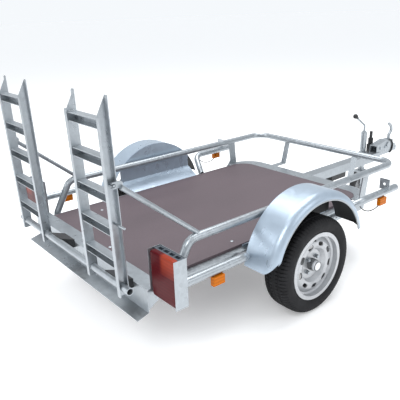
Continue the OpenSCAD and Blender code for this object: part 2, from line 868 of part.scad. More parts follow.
module ramp_rungs_left() {
    ramp_rungs(-1);
}

module ramp_rails_right() {
    ramp_rails(1);
}

module ramp_rungs_right() {
    ramp_rungs(1);
}

module jockey_leg() {
    low = 2 * jockey_r + 36;
    color([0.66, 0.68, 0.7]) place() translate([jockey_x, jockey_y, low])
        cylinder(h = deck_z - low + 20, r = jockey_leg_r);
}

module jockey_fork() {
    crown = 2 * jockey_r + 12;
    cheek = 32;
    color(galv) place() translate([jockey_x, jockey_y, 0]) {
        translate([0, 0, crown]) cylinder(h = 24, r = 26);
        translate([-cheek - 4, -58, crown]) cube([2 * cheek + 8, 84, 10]);
        for (s = [-1, 1])
            translate([s * (cheek + 2) - 2, 0, 0]) rotate([90, 0, 90]) linear_extrude(4)
                polygon([[-58, crown + 10], [26, crown + 10], [-jockey_trail + 18, jockey_r - 14],
                    [-jockey_trail - 18, jockey_r - 14]]);
        translate([-cheek - 8, -jockey_trail, jockey_r]) rotate([0, 90, 0]) cylinder(h = 2 * cheek + 16, r = 8);
    }
}

module jockey_wheel() {
    color(dark) place() translate([jockey_x, jockey_y - jockey_trail, jockey_r]) rotate([0, 90, 0])
        rotate_extrude() {
            translate([8.1, -27]) square([18, 54]);
            translate([8.1, -20]) square([jockey_r - 30, 40]);
            translate([jockey_r - 22, 0]) circle(r = 22);
        }
}

deck_panel();
side_member_left();
side_member_right();
front_cross_member();
rear_cross_member();
deck_bearers();
drawbar();
rail_left();
rail_front();
rail_right();
rail_posts();
side_bar_rear_left();
side_bar_rear_right();
side_bar_front_left();
side_bar_front_right();
fender_left();
fender_right();
fender_panel_left();
fender_panel_right();
axle_beam();
axle_arm_left();
axle_arm_right();
lamp_guard_left();
lamp_guard_right();
lamp_bodies();
lamp_lenses();
marker_lamps();
marker_plates();
marker_leads();
hinge_bar();
hinge_brackets();
stay_left();
stay_right();
coupling_head();
coupling_cup();
coupling_lever();
safety_cable();
jockey_clamp();
jockey_tube();
jockey_crank();
plug_socket();
junction_box();
tyre_left();
rim_left();
hub_left();
tyre_right();
rim_right();
hub_right();
ramp_rails_left();
ramp_rungs_left();
ramp_rails_right();
ramp_rungs_right();
jockey_leg();
jockey_fork();
jockey_wheel();
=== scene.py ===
"""Finish of the quad bike trailer: materials, tyre tread, lamp lenses, fasteners and welds over the solid frame."""
import math

import bmesh
import bpy
import numpy as np
from mathutils import Matrix, Vector


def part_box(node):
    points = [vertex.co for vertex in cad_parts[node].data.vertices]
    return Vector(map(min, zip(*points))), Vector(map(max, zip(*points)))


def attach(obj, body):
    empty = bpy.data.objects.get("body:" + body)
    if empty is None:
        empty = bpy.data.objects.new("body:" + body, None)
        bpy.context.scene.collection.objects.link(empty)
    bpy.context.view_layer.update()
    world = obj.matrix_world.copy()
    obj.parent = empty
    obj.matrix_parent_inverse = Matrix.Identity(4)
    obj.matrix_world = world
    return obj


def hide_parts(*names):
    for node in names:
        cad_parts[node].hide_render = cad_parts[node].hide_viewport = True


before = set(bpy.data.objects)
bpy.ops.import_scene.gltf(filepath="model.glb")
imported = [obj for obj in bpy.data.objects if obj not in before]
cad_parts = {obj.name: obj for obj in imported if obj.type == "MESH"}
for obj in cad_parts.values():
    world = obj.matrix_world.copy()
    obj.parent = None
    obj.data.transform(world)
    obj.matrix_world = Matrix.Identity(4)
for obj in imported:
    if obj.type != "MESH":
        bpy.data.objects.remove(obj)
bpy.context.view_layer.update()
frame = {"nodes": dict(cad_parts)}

bl_info = {
    "name": "Quad Bike Trailer",
    "version": (1, 0, 0),
    "blender": (4, 5, 0),
    "location": "View3D > Sidebar > Trailer",
    "description": "Dresses the trailer's solid frame with its surfaces, tread, lamps and fasteners",
    "category": "Object",
}

SIDES = (("left", -1.0), ("right", 1.0))


def hex_linear(code):
    """Linear colour of an sRGB hex code: c / 12.92 below 0.04045, else ((c + 0.055) / 1.055) to the power 2.4."""
    c = np.array([int(code[i : i + 2], 16) for i in (0, 2, 4)]) / 255.0
    return tuple(np.where(c <= 0.04045, c / 12.92, ((c + 0.055) / 1.055) ** 2.4))


def colour(label, words, code):
    return bpy.props.FloatVectorProperty(
        name=label, description=words, subtype="COLOR", size=3, min=0, max=1, default=hex_linear(code)
    )


def length(label, words, metres):
    return bpy.props.FloatProperty(name=label, description=words, default=metres, min=0, unit="LENGTH", precision=4)


class TrailerSizes(bpy.types.PropertyGroup):
    """Sizes of the dressed details."""

    tread_depth: length("Tread depth", "Depth of the grooves in the tyre's tread", 0.0055)
    tread_pitch: bpy.props.IntProperty(name="Tread blocks", description="Blocks round the tyre", default=80, min=20)
    bead_r: length("Lip bead", "Radius of the rolled bead on the fender's lip", 0.0054)
    bolt_r: length("Deck bolt", "Radius of a deck bolt's domed head", 0.009)
    weld_r: length("Weld", "Radius of a weld bead", 0.0035)
    spangle: length("Spangle", "Width of one zinc crystal on the galvanised steel", 0.014)
    lens_bulge: length("Lens bulge", "How far the tail lamp's lens bows out", 0.005)


class TrailerColours(bpy.types.PropertyGroup):
    """Colours of the finishes."""

    zinc: colour("Zinc", "Galvanised steel of the frame and rails", "A3A9AE")
    fender: colour("Fender zinc", "Galvanised sheet of the fenders", "A4B2C0")
    deck: colour("Deck", "Film on the plywood deck", "5A4F54")
    rubber: colour("Rubber", "Tyres", "151517")
    wheel: colour("Wheel paint", "Silver paint of the rims", "B4B6B9")
    red: colour("Red lens", "Stop and tail segments", "490A11")
    amber: colour("Amber lens", "Side markers", "B8640F")
    signal: colour("Signal segment", "Indicator segment of the tail lamps", "86311F")
    housing: colour("Lamp housing", "Moulded tail lamp housing", "3C444D")
    black: colour("Black plastic", "Plug, box, grips and leads", "1B1C1E")


def patch(p, wrap_u=False, wrap_v=False):
    """Vertices and quads of a grid p[u, v]: quad (u, v) joins neighbours at u + 1 and v + 1, across a wrapped seam."""
    m, n = p.shape[:2]
    idx = np.arange(m * n).reshape(m, n)
    if wrap_u:
        idx = np.vstack([idx, idx[:1]])
    if wrap_v:
        idx = np.hstack([idx, idx[:, :1]])
    q = np.stack([idx[:-1, :-1], idx[1:, :-1], idx[1:, 1:], idx[:-1, 1:]], -1).reshape(-1, 4)
    return p.reshape(-1, 3), q


def build(name, patches, mat, body, smooth=True):
    """One mesh object from grid patches, its doubles merged and its faces turned outwards, riding on a body."""
    starts = np.cumsum([0] + [len(v) for v, _ in patches])
    verts = np.vstack([v for v, _ in patches])
    quads = np.vstack([q + s for (_, q), s in zip(patches, starts)])
    mesh = bpy.data.meshes.new(name)
    mesh.vertices.add(len(verts))
    mesh.vertices.foreach_set("co", verts.astype(np.float32).ravel())
    mesh.loops.add(quads.size)
    mesh.loops.foreach_set("vertex_index", quads.astype(np.int32).ravel())
    mesh.polygons.add(len(quads))
    mesh.polygons.foreach_set("loop_start", np.arange(0, quads.size, 4, dtype=np.int32))
    mesh.update(calc_edges=True)
    bm = bmesh.new()
    bm.from_mesh(mesh)
    bmesh.ops.remove_doubles(bm, verts=bm.verts, dist=2e-6)
    bmesh.ops.recalc_face_normals(bm, faces=bm.faces)
    bm.to_mesh(mesh)
    bm.free()
    mesh.polygons.foreach_set("use_smooth", np.full(len(mesh.polygons), smooth))
    if smooth:
        mesh.set_sharp_from_angle(angle=math.radians(40))
    mesh.validate()
    obj = bpy.data.objects.new(name, mesh)
    bpy.context.scene.collection.objects.link(obj)
    mesh.materials.append(mat)
    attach(obj, body)
    return obj


def basis(axis):
    """Two unit vectors square to an axis."""
    a = np.asarray(axis, float) / np.linalg.norm(axis)
    ref = np.array([0.0, 0.0, 1.0]) if abs(a[2]) < 0.9 else np.array([1.0, 0.0, 0.0])
    u = np.cross(ref, a)
    u /= np.linalg.norm(u)
    return a, u, np.cross(a, u)


def lathe(profile, centre, axis, segs=24):
    """Surface of revolution: point = centre + axis * h + (u cos t + v sin t) * r, for each (r, h) of the profile."""
    a, u, v = basis(axis)
    r, h = np.asarray(profile, float).T
    t = np.linspace(0, 2 * np.pi, segs, endpoint=False)[:, None, None]
    ring = np.cos(t) * u + np.sin(t) * v
    return patch(np.asarray(centre, float) + ring * r[None, :, None] + h[None, :, None] * a, wrap_u=True)


def sweep(path, radius, segs=10, ref=(0, 0, 1)):
    """Round section along a path: point = path + (side cos t + up sin t) * radius, side square to tangent and ref."""
    path = np.asarray(path, float)
    tan = np.gradient(path, axis=0)
    tan /= np.linalg.norm(tan, axis=1, keepdims=True)
    side = np.cross(tan, np.asarray(ref, float))
    side /= np.linalg.norm(side, axis=1, keepdims=True)
    up = np.cross(side, tan)
    t = np.linspace(0, 2 * np.pi, segs, endpoint=False)[None, :, None]
    r = np.broadcast_to(np.asarray(radius, float), (len(path),))[:, None, None]
    tube = path[:, None] + (side[:, None] * np.cos(t) + up[:, None] * np.sin(t)) * r
    ends = [np.repeat(path[i][None, None], segs, 1) for i in (0, -1)]
    return patch(np.concatenate([ends[0], tube, ends[1]]), wrap_v=True)


def dome(centre, axis, r, h):
    """Domed bolt head: a quarter ellipse of radius r and height h turned about the axis."""
    t = np.linspace(0, np.pi / 2, 6)
    return lathe(np.vstack([[[0, 0]], np.stack([r * np.cos(t), h * np.sin(t)], 1)]), centre, axis, 16)


def hex_head(centre, axis, r, h, washer=1.35):
    """Hexagon head on a washer: six-sided and round revolved profiles."""
    c, a = np.asarray(centre, float), basis(axis)[0]
    w = 0.22 * h
    disc = lathe([(0, 0), (washer * r, 0), (washer * r, w), (0, w)], c, axis, 20)
    head = [(0, w), (r, w), (r, h * 0.85), (0.86 * r, h), (0, h)]
    return [disc, lathe(head, c, a, 6)]


def weld_run(path, r, ref=(0, 0, 1)):
    """Weld bead: a round section along the path whose radius ripples as 1 + 0.16 sin(2 pi s / 4 mm)."""
    path = np.asarray(path, float)
    step = np.linalg.norm(np.diff(path, axis=0), axis=1)
    s = np.concatenate([[0], np.cumsum(step)])
    fine = np.linspace(0, s[-1], max(12, int(s[-1] / 0.0013)))
    pts = np.stack([np.interp(fine, s, path[:, k]) for k in range(3)], 1)
    return sweep(pts, r * (1 + 0.16 * np.sin(2 * np.pi * fine / 0.004)), 7, ref)


def feed(tree, node, sockets):
    """Values and links into a node's sockets."""
    for key, value in sockets.items():
        if isinstance(value, bpy.types.NodeSocket):
            tree.links.new(value, node.inputs[key])
        else:
            node.inputs[key].default_value = value


def add(tree, kind, out, sockets, **settings):
    """One shader node with its settings and its sockets fed; the output asked for comes back."""
    node = tree.nodes.new("ShaderNode" + kind)
    for key, value in settings.items():
        setattr(node, key, value)
    feed(tree, node, sockets)
    return node.outputs[out]


RANGE = ("Value", "From Min", "From Max", "To Min", "To Max")


def ranged(*values):
    """Sockets of a range: the value, where it runs from and to, and what it becomes."""
    return dict(zip(RANGE, values))


def between(fac, a, b):
    """Sockets of a colour mix; a plain colour gets its alpha."""
    a, b = (c if isinstance(c, bpy.types.NodeSocket) else (*c, 1) for c in (a, b))
    return {"Factor": fac, "A": a, "B": b}


def per(mm):
    """Pattern scale whose cells are this many millimetres wide."""
    return 1000.0 / mm


def shade(c, k):
    """Colour c made k times as light."""
    return tuple(min(1.0, x * k) for x in c)


def surface(name, base, rough, **sockets):
    """A new material: its own tree, its shader with the base colour and roughness, and its Object coordinates."""
    mat = bpy.data.materials.new(name)
    mat.use_nodes = True
    mat.diffuse_color = (*base, 1)
    tree = mat.node_tree
    shader = tree.nodes["Principled BSDF"]
    plain = {key.replace("_", " "): value for key, value in sockets.items()}
    feed(tree, shader, {"Base Color": (*base, 1), "Roughness": rough, **plain})
    return mat, tree, shader, add(tree, "TexCoord", "Object", {})


def axle_distance(tree, at, y, z):
    """Distance from the axle line through (y, z): the length of the position less that line's, with x dropped."""
    off = add(tree, "VectorMath", "Vector", {0: at, 1: (0, y, z)}, operation="SUBTRACT")
    flat = add(tree, "VectorMath", "Vector", {0: off, 1: (0, 1, 1)}, operation="MULTIPLY")
    return add(tree, "VectorMath", "Value", {0: flat}, operation="LENGTH")


def galvanised(name, base, spangle, metal=0.8, mottle=1.0):
    """Hot-dip zinc: crystals a spangle wide and cloudy tone over a quarter metre, which give a soft, patchy gleam."""
    mat, tree, shader, at = surface(name, base, 0.4, Metallic=metal)
    tall = add(tree, "Mapping", "Vector", {"Vector": at, "Scale": (1, 1, 0.7)})
    crystal = add(tree, "TexVoronoi", "Color", {"Vector": tall, "Scale": 1 / spangle})
    cell = add(tree, "SeparateColor", "Red", {"Color": crystal})
    cloud = add(tree, "TexNoise", "Fac", {"Vector": at, "Scale": per(250), "Detail": 4.0})
    light, dark = shade(base, 1 + 0.09 * mottle), shade(base, 1 - 0.12 * mottle)
    mixed = add(tree, "Mix", "Result", between(cell, dark, light), data_type="RGBA")
    veil = add(tree, "MapRange", "Result", ranged(cloud, 0.38, 0.7, 0.0, 0.7))
    tone = add(tree, "Mix", "Result", between(veil, mixed, shade(base, 1 - 0.2 * mottle)), data_type="RGBA")
    both = add(tree, "Math", 0, {0: cell, 1: cloud}, operation="ADD")
    gloss = add(tree, "MapRange", "Result", ranged(both, 0.0, 2.0, 0.22, 0.44))
    grain = add(tree, "TexNoise", "Fac", {"Vector": at, "Scale": per(3.85), "Detail": 2.0})
    normal = add(tree, "Bump", "Normal", {"Height": grain, "Strength": 0.12, "Distance": 0.0006})
    feed(tree, shader, {"Base Color": tone, "Roughness": gloss, "Normal": normal})
    return mat


def film_ply(name, base):
    """Film-faced plywood: wire-mesh print of 4.2 mm and long cloudy wear, which give a dull brown with faint grain."""
    mat, tree, shader, at = surface(name, base, 0.55, Specular_IOR_Level=0.3)
    mesh = add(tree, "TexVoronoi", "Color", {"Vector": at, "Scale": per(4.2)})
    mark = add(tree, "SeparateColor", "Red", {"Color": mesh})
    along = add(tree, "Mapping", "Vector", {"Vector": at, "Scale": (1.6, 0.5, 1)})
    wear = add(tree, "TexNoise", "Fac", {"Vector": along, "Scale": per(454.5), "Detail": 5.0})
    part = add(tree, "MapRange", "Result", ranged(wear, 0.38, 0.7, 0.0, 1.0))
    worn = add(tree, "Mix", "Result", between(part, shade(base, 0.9), shade(base, 1.12)), data_type="RGBA")
    ink = add(tree, "MapRange", "Result", ranged(mark, 0.0, 1.0, 0.0, 0.35))
    tone = add(tree, "Mix", "Result", between(ink, worn, shade(base, 0.8)), data_type="RGBA")
    gloss = add(tree, "MapRange", "Result", ranged(wear, 0.0, 1.0, 0.42, 0.66))
    normal = add(tree, "Bump", "Normal", {"Height": mark, "Strength": 0.18, "Distance": 0.0005})
    feed(tree, shader, {"Base Color": tone, "Roughness": gloss, "Normal": normal})
    return mat


def tyre_rubber(name, base):
    """Moulded rubber: fine grain with dusty grey patches, which give a matt black."""
    mat, tree, shader, at = surface(name, base, 0.75, Specular_IOR_Level=0.25)
    dust_and_painted_shade = add(tree, "TexNoise", "Fac", {"Vector": at, "Scale": per(71.4), "Detail": 5.0})
    part = add(tree, "MapRange", "Result", ranged(dust_and_painted_shade, 0.4, 0.75, 0.0, 1.0))
    tone = add(tree, "Mix", "Result", between(part, base, shade(base, 1.9)), data_type="RGBA")
    scuff = add(tree, "TexNoise", "Fac", {"Vector": at, "Scale": per(16.7), "Detail": 3.0})
    gloss = add(tree, "MapRange", "Result", ranged(scuff, 0.0, 1.0, 0.62, 0.85))
    grain = add(tree, "TexNoise", "Fac", {"Vector": at, "Scale": per(1.43), "Detail": 2.0})
    normal = add(tree, "Bump", "Normal", {"Height": grain, "Strength": 0.2, "Distance": 0.0004})
    feed(tree, shader, {"Base Color": tone, "Roughness": gloss, "Normal": normal})
    return mat


def silver_paint(name, base, inside=None):
    """Sprayed metallic paint: flake of 1.1 mm, drawn coarse so that it shows, and orange peel: a soft silver.

    Where inside is given, painted shade makes it near black and without metal inboard of that distance from the middle,
    and deeper in the vents' ring, where the rim's hollow lies in shade.
    """
    metal = 0.6
    mat, tree, shader, at = surface(name, base, 0.36, Metallic=metal, Coat_Weight=0.2, Coat_Roughness=0.06)
    speck = add(tree, "TexVoronoi", "Color", {"Vector": at, "Scale": per(1.11)})
    flake = add(tree, "SeparateColor", "Red", {"Color": speck})
    tone = add(tree, "Mix", "Result", between(flake, shade(base, 0.88), shade(base, 1.05)), data_type="RGBA")
    if inside:
        # Painted shade: the rim's hollow and the walls seen through its vents are coloured near black for the shade in
        # there.
        vent_low, vent_high, vent_depth, fade = 0.099, 0.129, 0.029, 0.004
        x = add(tree, "SeparateXYZ", "X", {"Vector": at})
        r = axle_distance(tree, at, AXLE_Y, AXLE_Z)
        past = add(tree, "Math", 0, {0: r, 1: vent_low}, operation="GREATER_THAN")
        short = add(tree, "Math", 0, {0: r, 1: vent_high}, operation="LESS_THAN")
        vent = add(tree, "Math", 0, {0: past, 1: short}, operation="MULTIPLY")
        deeper = add(tree, "Math", 0, {0: vent, 1: vent_depth}, operation="MULTIPLY")
        out = add(tree, "Math", 0, {0: x}, operation="ABSOLUTE")
        depth = add(tree, "Math", 0, {0: out, 1: deeper}, operation="SUBTRACT")
        dust_and_painted_shade = add(tree, "MapRange", "Result", ranged(depth, inside - fade, inside, 1.0, 0.0))
        tone = add(tree, "Mix", "Result", between(dust_and_painted_shade, tone, shade(base, 0.03)), data_type="RGBA")
        feed(tree, shader, {"Metallic": add(tree, "MapRange", "Result", ranged(dust_and_painted_shade, 0.0, 1.0, metal, 0.0))})
    haze = add(tree, "TexNoise", "Fac", {"Vector": at, "Scale": per(33.3), "Detail": 3.0})
    gloss = add(tree, "MapRange", "Result", ranged(haze, 0.0, 1.0, 0.28, 0.44))
    peel = add(tree, "TexNoise", "Fac", {"Vector": at, "Scale": per(2.38), "Detail": 1.0})
    normal = add(tree, "Bump", "Normal", {"Height": peel, "Strength": 0.06, "Distance": 0.0004})
    feed(tree, shader, {"Base Color": tone, "Roughness": gloss, "Normal": normal})
    return mat


def moulded(name, base, rough=0.5):
    """Injection-moulded plastic: a grained skin with slight tone changes, which give a dull, even colour."""
    mat, tree, shader, at = surface(name, base, rough)
    cloud = add(tree, "TexNoise", "Fac", {"Vector": at, "Scale": per(55.6), "Detail": 3.0})
    part = add(tree, "MapRange", "Result", ranged(cloud, 0.3, 0.7, 0.0, 1.0))
    tone = add(tree, "Mix", "Result", between(part, shade(base, 0.85), shade(base, 1.25)), data_type="RGBA")
    wipe = add(tree, "TexNoise", "Fac", {"Vector": at, "Scale": per(11.1), "Detail": 2.0})
    gloss = add(tree, "MapRange", "Result", ranged(wipe, 0.0, 1.0, rough - 0.1, rough + 0.12))
    grain = add(tree, "TexNoise", "Fac", {"Vector": at, "Scale": per(1.11), "Detail": 2.0})
    normal = add(tree, "Bump", "Normal", {"Height": grain, "Strength": 0.15, "Distance": 0.0003})
    feed(tree, shader, {"Base Color": tone, "Roughness": gloss, "Normal": normal})
    return mat


def lens(name, base, split=None, other=None):
    """Moulded acrylic lens: prism ribs 5 mm apart in rows of 16 mm, which break its colour into fine light and dark.

    Where split is given, the other colour fades in outboard of split[0] and above split[1].
    """
    rib, row, soft, climb = 0.005, 0.016, 0.01, 0.06
    mat, tree, shader, at = surface(name, base, 0.3, Specular_IOR_Level=0.1)
    x = add(tree, "SeparateXYZ", "X", {"Vector": at})
    z = add(tree, "SeparateXYZ", "Z", {"Vector": at})
    waves = []
    for along, pitch in ((x, rib), (z, row)):
        turn = add(tree, "Math", 0, {0: along, 1: 2 * math.pi / pitch}, operation="MULTIPLY")
        waves.append(add(tree, "Math", 0, {0: turn}, operation="SINE"))
    both = add(tree, "Math", 0, {0: waves[0], 1: waves[1]}, operation="ADD")
    depth = add(tree, "MapRange", "Result", ranged(both, -2.0, 2.0, 0.0, 1.0))
    tone = add(tree, "Mix", "Result", between(depth, shade(base, 0.72), shade(base, 1.25)), data_type="RGBA")
    if split:
        out = add(tree, "Math", 0, {0: x}, operation="ABSOLUTE")
        outer = add(tree, "MapRange", "Result", ranged(out, split[0] - soft, split[0] + soft, 0.0, 1.0))
        upper = add(tree, "Math", 0, {0: z, 1: split[1]}, operation="GREATER_THAN")
        corner = add(tree, "Math", 0, {0: outer, 1: upper}, operation="MULTIPLY")
        rise = add(tree, "MapRange", "Result", ranged(z, split[1], split[1] + climb, 0.25, 1.0))
        part = add(tree, "Math", 0, {0: corner, 1: rise}, operation="MULTIPLY")
        second = add(tree, "Mix", "Result", between(depth, shade(other, 0.8), shade(other, 1.15)), data_type="RGBA")
        tone = add(tree, "Mix", "Result", between(part, tone, second), data_type="RGBA")
    normal = add(tree, "Bump", "Normal", {"Height": depth, "Strength": 0.12, "Distance": 0.0008})
    feed(tree, shader, {"Base Color": tone, "Normal": normal})
    return mat


def small_wheel(name, base, rim, centre, split_r):
    """Solid rubber on a moulded centre: the centre's colour lies within split_r of the axle line, black outside it."""
    mat, tree, shader, at = surface(name, base, 0.6)
    grain = add(tree, "TexNoise", "Fac", {"Vector": at, "Scale": per(25), "Detail": 3.0})
    part = add(tree, "MapRange", "Result", ranged(grain, 0.35, 0.7, 0.0, 1.0))
    dark = add(tree, "Mix", "Result", between(part, base, shade(base, 1.7)), data_type="RGBA")
    light = add(tree, "Mix", "Result", between(part, shade(rim, 0.85), rim), data_type="RGBA")
    r = axle_distance(tree, at, centre[1], centre[2])
    inner = add(tree, "Math", 0, {0: r, 1: split_r}, operation="LESS_THAN")
    tone = add(tree, "Mix", "Result", between(inner, dark, light), data_type="RGBA")
    pit = add(tree, "TexNoise", "Fac", {"Vector": at, "Scale": per(1.67), "Detail": 2.0})
    normal = add(tree, "Bump", "Normal", {"Height": pit, "Strength": 0.15, "Distance": 0.0004})
    feed(tree, shader, {"Base Color": tone, "Normal": normal})
    return mat


FINISH = {}


def put(mat, *nodes):
    """One material on solid nodes."""
    for node in nodes:
        mats = frame["nodes"][node].data.materials
        mats.clear()
        mats.append(mat)


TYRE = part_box("tyre_right")
WHEEL_X, AXLE_Y, AXLE_Z = ((a + b) / 2 for a, b in zip(*TYRE))
TYRE_R = (TYRE[1][2] - TYRE[0][2]) / 2
BEAD_R = 0.1675
# Inboard of this the wheel paint carries painted shade for the rim's shaded hollow.
VENT_SHADE_X = WHEEL_X + 0.018
FENDER_R, FENDER_EDGE, FENDER_CORNER = 0.368, 0.042, 0.09
LAMP_X, LAMP_HALF = 0.672, 0.086
SIGNAL_X = 0.664


def make_finishes(sizes, colours):
    """Every finish, from the colours that a user sets."""
    c = {k: tuple(getattr(colours, k)) for k in TrailerColours.__annotations__}
    low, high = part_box("lamp_lenses")
    signal = (SIGNAL_X, low[2] + 0.6 * (high[2] - low[2]))
    jockey = [(a + b) / 2 for a, b in zip(*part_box("jockey_wheel"))]
    grain = sizes.spangle
    FINISH.update(
        zinc=galvanised("galvanised_steel", c["zinc"], grain),
        sheet=galvanised("galvanised_sheet", c["fender"], grain * 1.6, 0.6, 0.3),
        weld=galvanised("weld_zinc", shade(c["zinc"], 0.8), grain * 0.3),
        bolt=galvanised("zinc_plated_bolt", shade(c["zinc"], 1.08), grain * 0.4),
        deck=film_ply("film_faced_plywood", c["deck"]),
        rubber=tyre_rubber("tyre_rubber", c["rubber"]),
        wheel=silver_paint("silver_wheel_paint", c["wheel"], VENT_SHADE_X),
        hub=silver_paint("cast_hub_paint", shade(c["wheel"], 0.3)),
        cap=silver_paint("bright_cap_zinc", shade(c["wheel"], 1.6)),
        housing=moulded("lamp_housing_plastic", c["housing"]),
        black=moulded("black_plastic", c["black"], 0.45),
        # Black rubber of the leads, cable and valves; the same black is also the painted shade inside the fenders.
        lead=moulded("black_rubber_lead", c["black"], 0.6),
        tail=lens("tail_lamp_lens", c["red"], signal, c["signal"]),
        amber=lens("amber_lens", c["amber"]),
        jockey=small_wheel("jockey_tyre", c["rubber"], shade(c["wheel"], 0.6), jockey, 0.058),
    )


def paint_frame(sizes, colours):
    """Materials on the solid nodes."""
    make_finishes(sizes, colours)
    f, nodes = FINISH, frame["nodes"]
    put(f["zinc"], *nodes)
    put(f["sheet"], *[n for n in nodes if n.startswith("fender")])
    put(f["deck"], "deck_panel")
    for side, _ in SIDES:
        put(f["rubber"], "tyre_" + side)
        put(f["wheel"], "rim_" + side)
        put(f["hub"], "hub_" + side)
    put(f["housing"], "lamp_bodies")
    put(f["tail"], "lamp_lenses")
    put(f["amber"], "marker_lamps")
    put(f["lead"], "marker_leads", "safety_cable")
    put(f["black"], "plug_socket", "junction_box", "hinge_brackets")
    put(f["jockey"], "jockey_wheel")


def make_tyres(sizes):
    """Tyre: a section turned round the axle, cut by tread grooves.

    The section runs through (share of the height from bead to tread, half width) knots, smoothed by a short average.
    The tread's radius drops by the groove depth where |sin| of the block phase, skewed by the distance from the middle,
    is small, and in two rings.
    """
    knots = np.array(
        [(0.0, 0.0605), (0.145, 0.0638), (0.217, 0.0692), (0.352, 0.0752), (0.525, 0.0773), (0.679, 0.0757),
         (0.804, 0.0712), (0.896, 0.0655), (0.954, 0.0575), (0.983, 0.046), (0.996, 0.028), (1.0, 0.0)]
    )
    knots[:, 0] = BEAD_R + knots[:, 0] * (TYRE_R - 0.0002 - BEAD_R)
    k = np.linspace(0, 1, len(knots))
    s = np.concatenate([np.linspace(0, 0.55, 22), np.linspace(0.57, 1, 30)])
    half = np.stack([np.interp(s, k, knots[:, j]) for j in (0, 1)], 1)
    kernel = np.array([1, 2, 3, 2, 1]) / 9
    half[2:-2] = np.stack([np.convolve(half[:, j], kernel, "valid") for j in (0, 1)], 1)
    outer = np.vstack([half, half[-2::-1] * [1, -1]])
    bore = TYRE_R - 0.021
    inner = np.array([(BEAD_R, -0.05), (0.20, -0.06), (bore - 0.015, -0.06), (bore, -0.04), (bore, 0.04),
                      (bore - 0.015, 0.06), (0.20, 0.06), (BEAD_R, 0.05)])
    r, w = outer[:, 0], outer[:, 1]
    count = sizes.tread_pitch * 10
    t = np.linspace(0, 2 * np.pi, count, endpoint=False)[:, None]
    phase = t * sizes.tread_pitch + np.abs(w)[None] / 0.0775 * 2.2 + np.sign(w)[None] * 0.8
    lug = np.clip((np.abs(np.sin(phase / 2)) - 0.16) / 0.12, 0, 1)
    ring = np.ones_like(w)
    for at in (0.0, 0.030):
        ring = np.minimum(ring, np.clip((np.abs(np.abs(w) - at) - 0.0035) / 0.0015, 0, 1))
    tread = np.clip((r - TYRE_R + 0.025) / 0.012, 0, 1)
    rows = 1 - np.minimum(np.where(np.abs(w) < 0.012, 1.0, lug), ring[None])
    radius = r[None] - sizes.tread_depth * tread[None] * rows
    rib = sum(0.0006 * np.exp(-(((r - at) / 0.0012) ** 2)) for at in (0.205, TYRE_R - 0.028))
    width = w + np.sign(w) * rib
    hollow = (count, len(inner))
    full = np.concatenate([radius, np.broadcast_to(inner[:, 0], hollow)], 1)
    wide = np.concatenate([np.broadcast_to(width, radius.shape), np.broadcast_to(inner[:, 1], hollow)], 1)
    y, z = AXLE_Y + full * np.cos(t), AXLE_Z + full * np.sin(t)
    for side, sign in SIDES:
        grid = patch(np.stack([sign * (WHEEL_X + wide), y, z], -1), True, True)
        tyre = build("tyre_tread_" + side, [grid], FINISH["rubber"], "wheel_" + side)
        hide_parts("tyre_" + side)


def make_fender_shade_sheets():
    """Black sheet inside each fender, painted shade for the fender's shaded hollow: a band along its section, turned
    from tail to tail, and a flat cheek.

    The section is flat to the fender's round edge and then runs round it by an angle a, with sin a held by the width
    that the rear tail's rounded corner leaves: out - c + sqrt(c^2 - (c - h)^2) at the height h above the tail.
    """
    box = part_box("fender_right")
    wall, gap, skin = 0.002, 0.0004, 0.0008
    tail, low, high = 7, 7.4, 164.0
    edge, corner = FENDER_EDGE, FENDER_CORNER
    width = box[1][0] - box[0][0] - 0.0012
    centre_z = box[1][2] - FENDER_R
    turn = np.radians(np.linspace(low, high, 90))[:, None]
    h = np.where(turn < np.pi / 2, FENDER_R * (np.sin(turn) - np.sin(np.radians(tail))), corner)
    free = corner - np.sqrt(corner**2 - (corner - np.clip(h, 0, corner)) ** 2)
    limit = width - free - 0.004
    flat = np.minimum(width - edge, limit)
    bend = np.arcsin(np.clip((limit - (width - edge)) / (edge - wall), 0, np.sin(np.radians(70))))
    rows = []
    for depth in (wall + gap, wall + gap + skin):
        q = edge - depth
        along = 0.002 + (flat - 0.002) * np.linspace(0, 1, 8)[None]
        a = bend * np.linspace(0, 1, 10)[None]
        x = np.concatenate([along, flat + q * np.sin(a)], 1)
        r = np.concatenate([np.full_like(along, FENDER_R - depth), FENDER_R - edge + q * np.cos(a)], 1)
        rows.append((x, r) if not rows else (x[:, ::-1], r[:, ::-1]))
    x, r = (np.concatenate([rows[0][k], rows[1][k]], 1) for k in (0, 1))
    y, z = AXLE_Y - r * np.cos(turn), centre_z + r * np.sin(turn)
    across = np.linspace(-0.283, 0.283, 60)[:, None]
    top = centre_z + np.sqrt((FENDER_R - 0.0045) ** 2 - across**2)
    foot = np.full_like(top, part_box("deck_panel")[1][2] + 0.055)
    cheek_x = np.broadcast_to(np.array([0.0009, 0.0009, 0.0017, 0.0017]), (60, 4))
    cheek_y = np.broadcast_to(AXLE_Y + across, (60, 4))
    cheek_z = np.concatenate([foot, top, top, foot], 1)
    for side, sign in SIDES:
        parts = []
        for px, py, pz in ((x, y, z), (cheek_x, cheek_y, cheek_z)):
            ring = np.stack([sign * (box[0][0] + px), py, pz], -1)
            ends = [np.broadcast_to(ring[i].mean(0), ring[i].shape)[None] for i in (0, -1)]
            parts.append(patch(np.concatenate([ends[0], ring, ends[1]]), wrap_v=True))
        # Painted shade: a black sheet standing for the shadow inside the fender.
        build("fender_underseal_" + side, parts, FINISH["lead"], "chassis")


